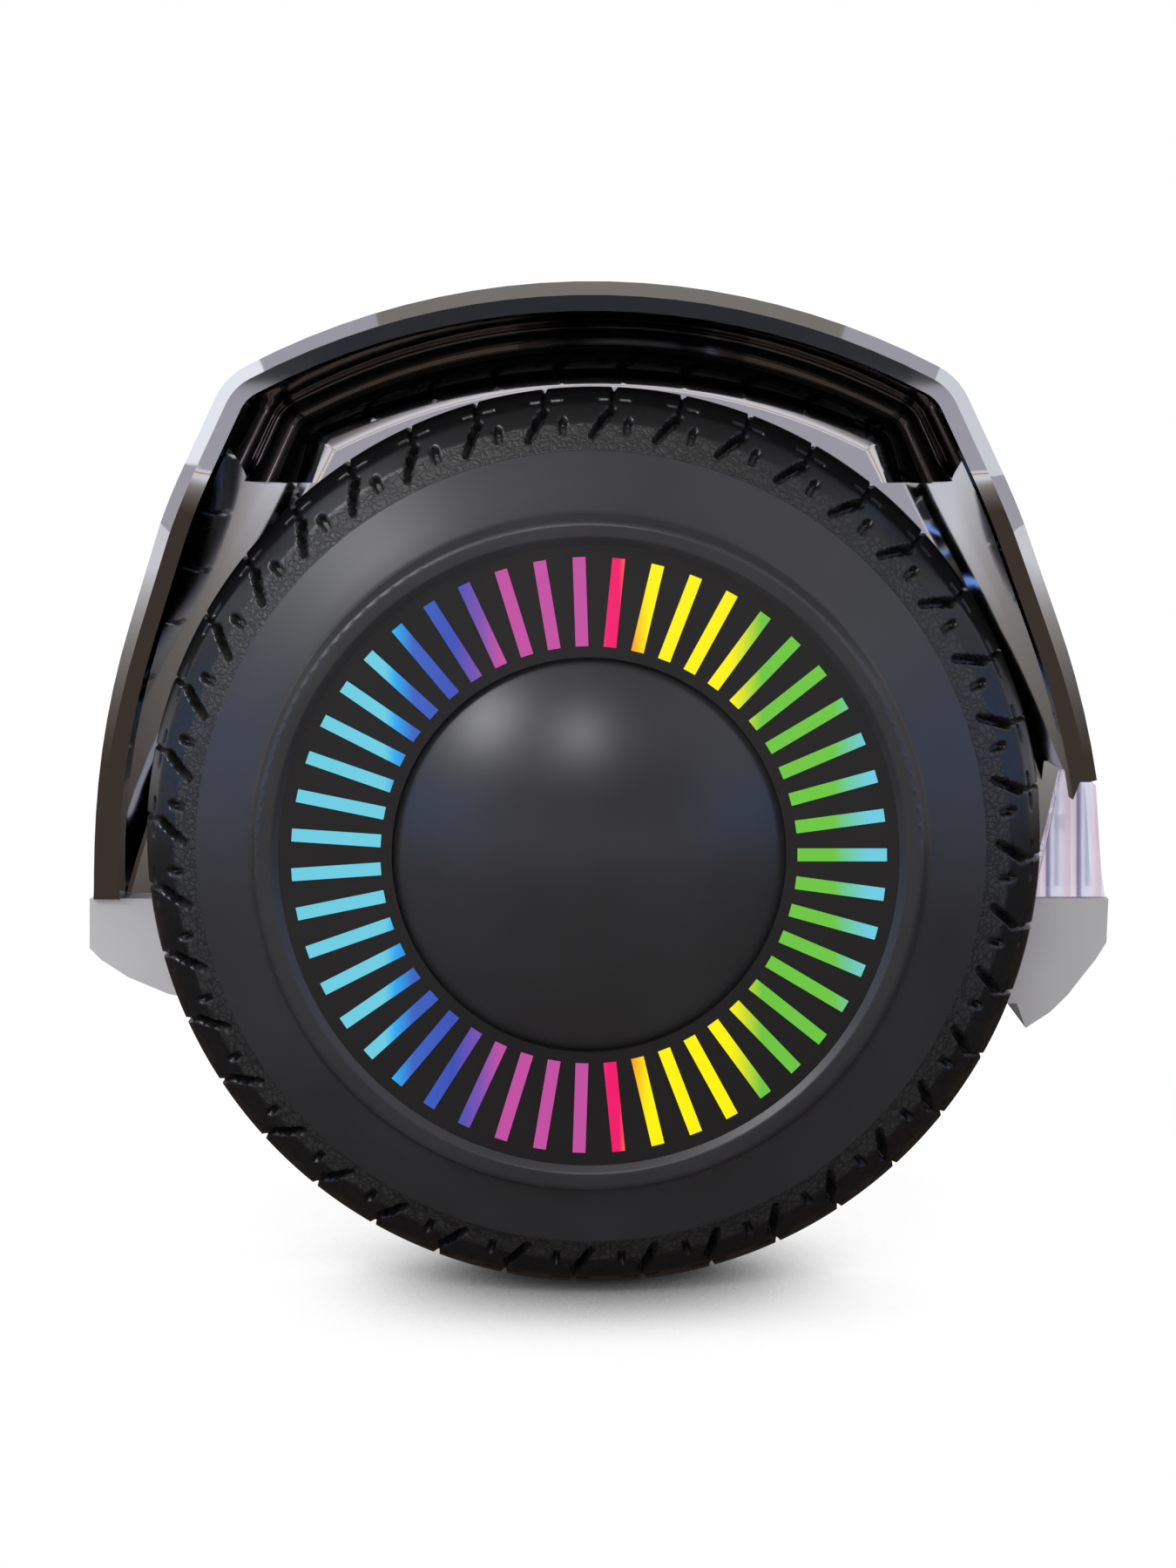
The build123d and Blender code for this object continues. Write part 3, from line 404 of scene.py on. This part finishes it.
# The side wall's colour darkens towards the crackle's grooves: painted shade
# in the creases.
wall_tone_with_painted_groove_shade = add(tree, "ValToRGB", None, {"Fac": cells.outputs["Result"]},
            [(0.0, "#1E1E1E"), (0.8, "#323231")])
colour = add(tree, "MixRGB", None,
             {"Fac": grain, "Color1": smooth.outputs["Color"],
              "Color2": wall_tone_with_painted_groove_shade.outputs["Color"]})
tree.links.new(colour.outputs["Color"], shader.inputs["Base Color"])
tree.links.new(polish.outputs["Result"], shader.inputs["Roughness"])
tree.links.new(relief.outputs["Normal"], shader.inputs["Normal"])
FINISHES["tyre_rubber"] = material
missing = sorted(set(SLOT_OF.values()) - set(FINISHES))
print("finishes", len(FINISHES), "missing", missing)

# %% [markdown]
# ## Meshes from arrays
# A new piece is a grid of points worked out all at once. The helper below
# joins neighbouring points into four-sided faces, and can close the grid on
# itself in either direction, which a tyre needs in both.

# %% Mesh helpers


def shaded(mesh, crease):
    """Smooth shading that keeps edges sharper than crease, in degrees."""
    mesh.shade_smooth()
    mesh.set_sharp_from_angle(angle=radians(crease))
    return mesh


def piece(name, mesh, material, body, replaces=()):
    """An object at the origin that rides on body and takes slot's finish."""
    obj = bpy.data.objects.new(name, mesh)
    bpy.context.scene.collection.objects.link(obj)
    mesh.materials.clear()
    mesh.materials.append(material)
    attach(obj, body)
    if replaces:
        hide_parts(*replaces)
    return obj


def grid_faces(rows, columns, close_rows, close_columns):
    """Point (i, j) is joined to (i+1, j), (i+1, j+1) and (i, j+1), with the
    indices taken round again where the grid is closed."""
    i, j = np.meshgrid(np.arange(rows - (not close_rows)),
                       np.arange(columns - (not close_columns)),
                       indexing="ij")
    up, on = (i + 1) % rows, (j + 1) % columns
    return np.stack([i * columns + j, up * columns + j,
                     up * columns + on, i * columns + on],
                    axis=-1).reshape(-1, 4)


def mesh_of(name, points, faces):
    """A mesh from points (n by 3) and faces (m by corners)."""
    mesh = bpy.data.meshes.new(name)
    mesh.from_pydata(points.tolist(), [], faces.tolist())
    mesh.update()
    return mesh


print("helpers ready")

# %% [markdown]
# ## Pieces kept from the solid model
# The solids arrive as loose triangles, each with its own corners, so a
# mirror on them would look like cut glass. The shape is right and stays:
# equal corners are merged in a copy, its curved parts are shaded smooth and
# its real edges stay sharp. The copy then stands for the solid.

# %% Merged copies


def merged(node, crease=24.0):
    """Corners that agree to a micrometre become one point, and triangles
    that keep fewer than three points are dropped."""
    source = frame["nodes"][node].data
    co = np.zeros(len(source.vertices) * 3, np.float32)
    source.vertices.foreach_get("co", co)
    corners = np.zeros(len(source.loops), np.int32)
    source.loops.foreach_get("vertex_index", corners)
    key = np.round(co.reshape(-1, 3).astype(float) * 1e6).astype(np.int64)
    _, first, same = np.unique(key, axis=0, return_index=True,
                               return_inverse=True)
    faces = same.reshape(-1)[corners].reshape(-1, 3)
    whole = ((faces[:, 0] != faces[:, 1]) & (faces[:, 1] != faces[:, 2])
             & (faces[:, 2] != faces[:, 0]))
    mesh = mesh_of(node + "_skin", co.reshape(-1, 3)[first], faces[whole])
    shaded(mesh, crease)
    return piece(node + "_skin", mesh, FINISHES[SLOT_OF[node]],
                 BODY_OF[node], [node])


SKINS = ["top_cover", "bottom_cover", "front_bumper", "rear_bumper",
         "headlight_lens", "headlight_housing", "foot_pad",
         "indicator_lens", "rim", "motor_cover", "wheel_cover",
         "light_face", "hub_cap", "axle", "frame"]
skins = {}
for side in SIDES:
    for part in SKINS:
        skins[f"{side}_{part}"] = merged(f"{side}_{part}")
for node in ("power_button", "charge_socket", "charge_cap", "pivot_tube",
             "centre_seal", "retaining_ring"):
    skins[node] = merged(node)
print("skins", len(skins))

# %% Finishes on the solids that stay as they are
for node, obj in frame["nodes"].items():
    if node not in skins and not node.endswith("_tyre"):
        obj.data.materials.clear()
        obj.data.materials.append(FINISHES[SLOT_OF[node]])
print("kept", len(frame["nodes"]) - len(skins) - 2)

# %% [markdown]
# ## The tyre
# The tyre is solid rubber with a rounded tread, a ridge at each shoulder and
# flat side walls. Forty times round, a slot starts on the side wall, leans
# over the shoulder and runs on across the crown as a thinner cut. A short
# cross cut meets it near the top of the shoulder, and a small notch sits on
# the ridge half way to the next slot.
#
# It could be modelled groove by groove with booleans, but a grid pushed in
# where a groove is gives the same look with clean faces. The section is a
# closed line, the grid goes round the axle, and each groove is the distance
# to a few straight lines drawn on the unrolled tread.

# %% Tyre section
RIDGE = 6.05  # mm along the section, from the bead to the ridge
CROWN = 25.35  # mm along the section, from the bead to the crown
WALL_END, TREAD_END = 2.6, 14.2  # mm, where the fine rows start and stop
MID_SHOULDER = 78.0  # mm, the radius at which the tread is unrolled
BORE = np.array([(-19.5, 64.0), (-18.0, 62.05), (18.0, 62.05), (19.5, 64.0)])
NOT_TREAD = -9.0  # stands for a length on the bore, where no groove reaches
OUTER = np.array([(19.5, 69.4), (16.4, 74.6), (13.6, 78.6), (8.5, 81.7),
                  (4.0, 82.35), (0.0, 82.5)])


def half_section(steps):
    """Points on the section from bead to crown, at the lengths in steps: a
    straight interpolation, eased over 1.2 mm at the ridge and shoulder."""
    run = np.concatenate([[0], np.cumsum(np.hypot(*np.diff(OUTER.T)))])
    reach = 0.6  # mm to each side, over which a corner is eased
    near = [np.stack([np.interp(steps + shift, run, OUTER[:, k])
                      for k in (0, 1)], axis=-1)
            for shift in (-reach, 0.0, reach)]
    line = (near[0] + 2 * near[1] + near[2]) / 4
    line[steps < reach] = near[1][steps < reach]
    line[-1] = OUTER[-1]
    return line, run[-1]


_, whole_run = half_section(np.array([0.0, 1.0]))
print("bead to crown", round(whole_run, 2), "mm")

# %% [markdown]
# Each groove is a straight stroke on the unrolled tread, with a width and a
# depth. The depth at a point falls from full to nothing over a third of a
# millimetre at the stroke's edge.

# %% Tread strokes
PITCHES = 40
PITCH = 2 * np.pi * MID_SHOULDER / PITCHES  # mm between slots, at mid shoulder
STROKES = [  # start (along section, round), end, width, depth, all in mm
    ((3.8, 0.0), (9.3, 3.0), 1.45, 2.2),
    ((9.4, 3.1), (CROWN + 2, 3.3), 0.6, 0.9),
    ((12.5, 0.7), (12.5, 3.3), 0.75, 0.9),
    ((12.5, 4.4), (12.5, 6.4), 0.75, 0.9),
    ((4.7, PITCH / 2 + 0.3), (7.0, PITCH / 2 + 0.3), 1.3, 1.4),
]


def tread_depth(along, round_):
    """The deepest stroke at each point. A stroke's depth is a smooth step
    of how far inside its half width the point lies."""
    deepest = np.zeros_like(along)
    for (s0, t0), (s1, t1), width, depth in STROKES:
        ds, dt = s1 - s0, t1 - t0
        t = (round_ - t0 + PITCH / 2) % PITCH - PITCH / 2
        s = along - s0
        share = np.clip((s * ds + t * dt) / (ds * ds + dt * dt), 0, 1)
        far = np.hypot(s - share * ds, t - share * dt)
        inside = np.clip((width / 2 + 0.18 - far) / 0.36, 0, 1)
        deepest = np.maximum(deepest,
                             depth * inside * inside * (3 - 2 * inside))
    return deepest


print("pitch", round(PITCH, 2), "mm,", len(STROKES), "strokes")

# %% Tyre mesh
ROUND = 1320  # points round the tyre, 33 to a pitch
TYRE_TURN = 0.2  # degrees, where the first slot stands


def tyre(side):
    """Section points carried round the axle. The angle runs from the top
    towards -y, and the section's x is mirrored on the other wheel. The outer
    half has finer rows than the half that faces the board."""
    sign = SIDES[side]
    fine, coarse = (np.concatenate([
        np.linspace(0, WALL_END, wall_rows)[:-1],
        np.linspace(WALL_END, TREAD_END, tread_rows)[:-1],
        np.linspace(TREAD_END, CROWN, crown_rows)])
        for wall_rows, tread_rows, crown_rows in ((4, 29, 7), (3, 18, 6)))
    out, _ = half_section(fine)
    back, _ = half_section(coarse)
    back = back[:-1][::-1] * (-1, 1)
    line = np.concatenate([out, back, BORE])
    along = np.concatenate([fine, coarse[:-1][::-1],
                            np.full(len(BORE), NOT_TREAD)])
    flip = np.concatenate([np.ones(len(out)), -np.ones(len(back)),
                           np.ones(len(BORE))])
    step = np.roll(line, -1, axis=0) - np.roll(line, 1, axis=0)
    normal = np.stack([-step[:, 1], step[:, 0]], axis=-1)
    normal /= np.linalg.norm(normal, axis=1, keepdims=True)
    normal *= np.sign((normal * (line - (0, 70))).sum(1, keepdims=True))
    angle = np.linspace(0, 2 * np.pi, ROUND, endpoint=False)
    turned = (angle - radians(TYRE_TURN)) * MID_SHOULDER
    depth = tread_depth(along[:, None],
                        turned[None, :] * flip[:, None]
                        + (flip[:, None] < 0) * PITCH / 2)
    depth = np.where(along[:, None] < 0, 0, depth)
    u = line[:, :1] - normal[:, :1] * depth
    r = line[:, 1:] - normal[:, 1:] * depth
    points = np.stack([sign * (WHEEL_X + u * MM),
                       -r * MM * np.sin(angle),
                       AXLE_HEIGHT + r * MM * np.cos(angle)], axis=-1)
    faces = grid_faces(len(line), ROUND, True, True)
    if sign > 0:
        faces = faces[:, ::-1]
    mesh = mesh_of(f"{side}_tyre_tread", points.reshape(-1, 3), faces)
    wall = np.clip((RIDGE + 0.4 - along) / 0.8, 0, 1) * (along >= 0)
    grain = mesh.attributes.new("grain", "FLOAT", "POINT")
    grain.data.foreach_set(
        "value", np.repeat(wall, ROUND).astype(np.float32))
    shaded(mesh, 60.0)
    obj = piece(f"{side}_tyre_tread", mesh, FINISHES["tyre_rubber"],
                f"{side}_wheel", [f"{side}_tyre"])
    print(obj.name, len(mesh.polygons), "faces")
    return obj


for side in SIDES:
    tyre(side)

# %% [markdown]
# ## Grip on the foot pads
# A foot pad is a rubber mat with small raised lozenges that keep a shoe from
# slipping. There are a few hundred, enough to read as one texture, so each is
# a plain eight-sided block: two rings for its wall, and a third, drawn in a
# little, for its upper edge.

# %% Pad lozenges
PAD_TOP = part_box("right_foot_pad")[1][2] / MM
PAD_START, PAD_END = 60.0, 186.0  # mm from the middle of the board
NARROW, WIDE = 66.0, 79.0  # mm, half the pad's width at those two ends
STEP_X, STEP_Y = 5.4, 11.2  # mm between lozenges, along and across
MARGIN = 8.5  # mm of plain rubber at the sides
CORNER = 14.0  # mm from each end where the outline rounds in
LOZENGE = np.array([(-4.6, 0), (-3.6, -0.9), (0, -2.1), (3.6, -0.9),
                    (4.6, 0), (3.6, 0.9), (0, 2.1), (-3.6, 0.9)])


def lozenges(side):
    """Centres on two interleaved square grids, kept where they lie inside
    the pad's tapered outline; every lozenge is the same 16 points moved."""
    sign = SIDES[side]
    i, j = np.meshgrid(np.arange(24), np.arange(-14, 15), indexing="ij")
    x = (PAD_START + 6.0 + i * STEP_X).reshape(-1)
    y = (j * STEP_Y + (i % 2) * STEP_Y / 2).reshape(-1)
    share = (x - PAD_START) / (PAD_END - PAD_START)
    end = np.minimum(x - PAD_START, PAD_END - x)
    reach = (NARROW + share * (WIDE - NARROW) - MARGIN
             - np.clip(CORNER - end, 0, CORNER) ** 2 / (2 * CORNER))
    keep = (np.abs(y) < reach) & (end > 6.0)
    centre = np.stack([x[keep], y[keep]], axis=-1)
    ring = LOZENGE[:, ::-1]
    rings = [(ring, PAD_TOP - 0.2), (ring, PAD_TOP + 0.5),
             (ring * 0.86, PAD_TOP + 0.9)]
    points = np.concatenate([
        np.concatenate([centre[:, None, :] + shape[None, :, :],
                        np.full((len(centre), 8, 1), high)], axis=-1)
        for shape, high in rings], axis=1)
    walls = [[level * 8 + k, level * 8 + (k + 1) % 8,
              level * 8 + 8 + (k + 1) % 8, level * 8 + 8 + k]
             for level in range(2) for k in range(8)]
    cap = [16 + k for k in range(8)]
    foot = [7 - k for k in range(8)]
    base = np.arange(len(centre)) * 24
    quads = (base[:, None, None] + np.array(walls)[None]).reshape(-1, 4)
    ends = (base[:, None, None] + np.array([cap, foot])[None]).reshape(-1, 8)
    points[..., 0] *= sign
    order = 1 if sign < 0 else -1
    mesh = bpy.data.meshes.new(f"{side}_pad_grip")
    mesh.from_pydata((points.reshape(-1, 3) * MM).tolist(), [],
                     quads[:, ::order].tolist() + ends[:, ::order].tolist())
    mesh.update()
    shaded(mesh, 20.0)
    obj = piece(f"{side}_pad_grip", mesh, FINISHES["black_rubber"],
                f"{side}_pad")
    print(obj.name, len(centre), "lozenges")
    return obj


for side in SIDES:
    lozenges(side)

# %% [markdown]
# ## The floor
# The board stands on a white sheet that runs out of sight. To the camera the
# sheet glows evenly, so it is as bright as the background, and only a soft
# dark patch, a painted shadow, shows where the tyre stands on it. That patch
# is worked out as ambient occlusion: how much of the nearby space above a
# point is taken up. In a mirror the sheet shows painted shade instead: it is
# duller and warmer close to the board.

# %% Floor
NEAR_SHADOW = 0.05  # m, reach of the soft shadow
mesh = mesh_of("floor", np.array(
    [(-8, -8, -0.0003), (8, -8, -0.0003), (8, 8, -0.0003),
     (-8, 8, -0.0003)], float), np.array([[0, 1, 2, 3]]))
floor = bpy.data.objects.new("floor", mesh)
bpy.context.scene.collection.objects.link(floor)
material, tree, shader = finish("white_floor", Roughness=1.0,
                                Specular_IOR_Level=0.0,
                                Base_Color=linear("#E6E4E2"))
# Painted shadow: the sheet's glow is darkened by ambient occlusion near the
# board.
taken = add(tree, "AmbientOcclusion", {"samples": 12},
            {"Distance": NEAR_SHADOW})
painted_shadow_tone = add(tree, "ValToRGB", None, {"Fac": taken.outputs["AO"]},
           [(0.0, "#101010"), (0.18, "#4A4A4A"), (0.36, "#BEBEBE"),
            (0.52, "#FFFFFF")])
sheet = add(tree, "Emission", None, {"Color": painted_shadow_tone.outputs["Color"],
                                     "Strength": 1.0})
place = add(tree, "TexCoord").outputs["Object"]
out = add(tree, "VectorMath", {"operation": "LENGTH"}, {0: place})
far = add(tree, "MapRange", None,
          {"Value": out.outputs["Value"], "From Min": 0.5,
           "From Max": 1.6})
# Painted shade in reflections: the sheet a mirror shows is dark and warm near
# the board and pale far off.
painted_reflection_shade = add(tree, "ValToRGB", None, {"Fac": far.outputs["Result"]},
           [(0.0, "#3E3630"), (0.45, "#8C8783"), (1.0, "#D2D1D6")])
mirrored = add(tree, "Emission", None, {"Color": painted_reflection_shade.outputs["Color"],
                                        "Strength": 1.0})
path = add(tree, "LightPath")
bounce = add(tree, "MixShader", None,
             {0: path.outputs["Is Glossy Ray"], 1: shader.outputs["BSDF"],
              2: mirrored.outputs["Emission"]})
whole = add(tree, "MixShader", None,
            {0: path.outputs["Is Camera Ray"],
             1: bounce.outputs["Shader"], 2: sheet.outputs["Emission"]})
tree.links.new(whole.outputs["Shader"],
               tree.nodes["Material Output"].inputs["Surface"])
mesh.materials.append(material)
print("floor", floor.name)

# %% [markdown]
# ## Light
# A mirror shows what stands around it, so a chrome board is lit by placing
# things for it to reflect. Ahead of the board is a lilac-grey wall with a
# tan skirting strip, and above it a dark screen that keeps the wheel and the
# rim of the fender deep. A warm grey ceiling is seen in the fender's upper
# edge, white cards in its shoulders, and blue cards low down in its sides.
# Three soft lamps give the plastic its highlights.

# %% World
world = bpy.data.worlds.new("room")
bpy.context.scene.world = world
world.use_nodes = True
tree = world.node_tree
tree.nodes.clear()
path = add(tree, "LightPath")
seen = add(tree, "Background", None, {"Color": linear("#FFFFFF"),
                                      "Strength": 1.0})
around = add(tree, "Background", None, {"Color": linear("#A3A1AA"),
                                        "Strength": 1.0})
mixed = add(tree, "MixShader", None,
            {0: path.outputs["Is Camera Ray"],
             1: around.outputs["Background"],
             2: seen.outputs["Background"]})
out = add(tree, "OutputWorld", None, {"Surface": mixed.outputs["Shader"]})
bpy.context.scene.view_settings.view_transform = "Standard"
print("world", world.name)

# %% Card and lamp helpers


def card(name, corners, code, strength=1.0):
    """A glowing flat panel that mirrors show and the camera doesn't."""
    mesh = mesh_of(name, np.array(corners, float), np.array([[0, 1, 2, 3]]))
    obj = bpy.data.objects.new(name, mesh)
    bpy.context.scene.collection.objects.link(obj)
    glow = bpy.data.materials.new(name)
    glow.use_nodes = True
    tree = glow.node_tree
    tree.nodes.clear()
    light = add(tree, "Emission", None, {"Color": linear(code),
                                         "Strength": strength})
    add(tree, "OutputMaterial", None, {"Surface": light.outputs["Emission"]})
    mesh.materials.append(glow)
    obj.visible_camera = False
    obj.visible_diffuse = False
    obj.visible_shadow = False
    return obj


def lamp(name, place, aim, size, power, mirrored, code="#FFFFFF"):
    """A soft rectangular lamp at place, turned to face the point aim."""
    data = bpy.data.lights.new(name, "AREA")
    data.shape, data.size, data.size_y = "RECTANGLE", *size
    data.energy, data.color = power, linear(code)[:3]
    obj = bpy.data.objects.new(name, data)
    obj.location = place
    away = obj.location - type(obj.location)(aim)
    obj.rotation_euler = away.to_track_quat("Z", "Y").to_euler()
    obj.visible_camera = False
    obj.visible_glossy = mirrored
    bpy.context.scene.collection.objects.link(obj)
    return obj


print("card and lamp helpers ready")

# %% Cards round the board
END = -0.29  # m, where the near wheel's face stands
WALL_X = -2.66  # m, the wall ahead of the near wheel


def upright(x, reach, low, high):
    """Corners of a panel across the board's length, facing along x."""
    return [(x, -reach, low), (x, reach, low), (x, reach, high),
            (x, -reach, high)]


card("skirting", upright(WALL_X, 2.5, 0.0, 0.033), "#B28A58")
card("dark_screen", upright(WALL_X + 0.2, 1.7, 0.34, 1.25), "#2E2F33")
card("ceiling", [(-2.2, -0.9, 2.2), (1.6, -0.9, 2.2), (1.6, 0.9, 2.2),
                 (-2.2, 0.9, 2.2)], "#7C7873")
for sign, name in ((1, "a"), (-1, "b")):
    card("blue_card_" + name,
         [(END - 0.9, sign * 0.8, 0.0), (END - 0.1, sign * 1.3, 0.0),
          (END - 0.1, sign * 1.3, 0.42), (END - 0.9, sign * 0.8, 0.42)],
         "#7FA6EE", 1.3)
    card("white_card_" + name,
         [(-1.6, sign * 1.7, 0.75), (1.6, sign * 1.7, 0.75),
          (1.6, sign * 1.3, 1.9), (-1.6, sign * 1.3, 1.9)],
         "#F2F4FA", 1.0 if sign > 0 else 0.75)

# %% Lamps
lamp("overhead", (0.0, 0.0, 1.6), (0, 0, 0), (2.6, 1.8), 30, False)
lamp("key", (END - 0.7, 0.85, 0.95), (END, 0, 0.08), (0.4, 0.4), 5, True)
lamp("front", (END - 1.15, 0.12, 0.98), (END, 0, 0.08), (0.3, 0.3), 3, True)
print("lamps", len(bpy.data.lights))
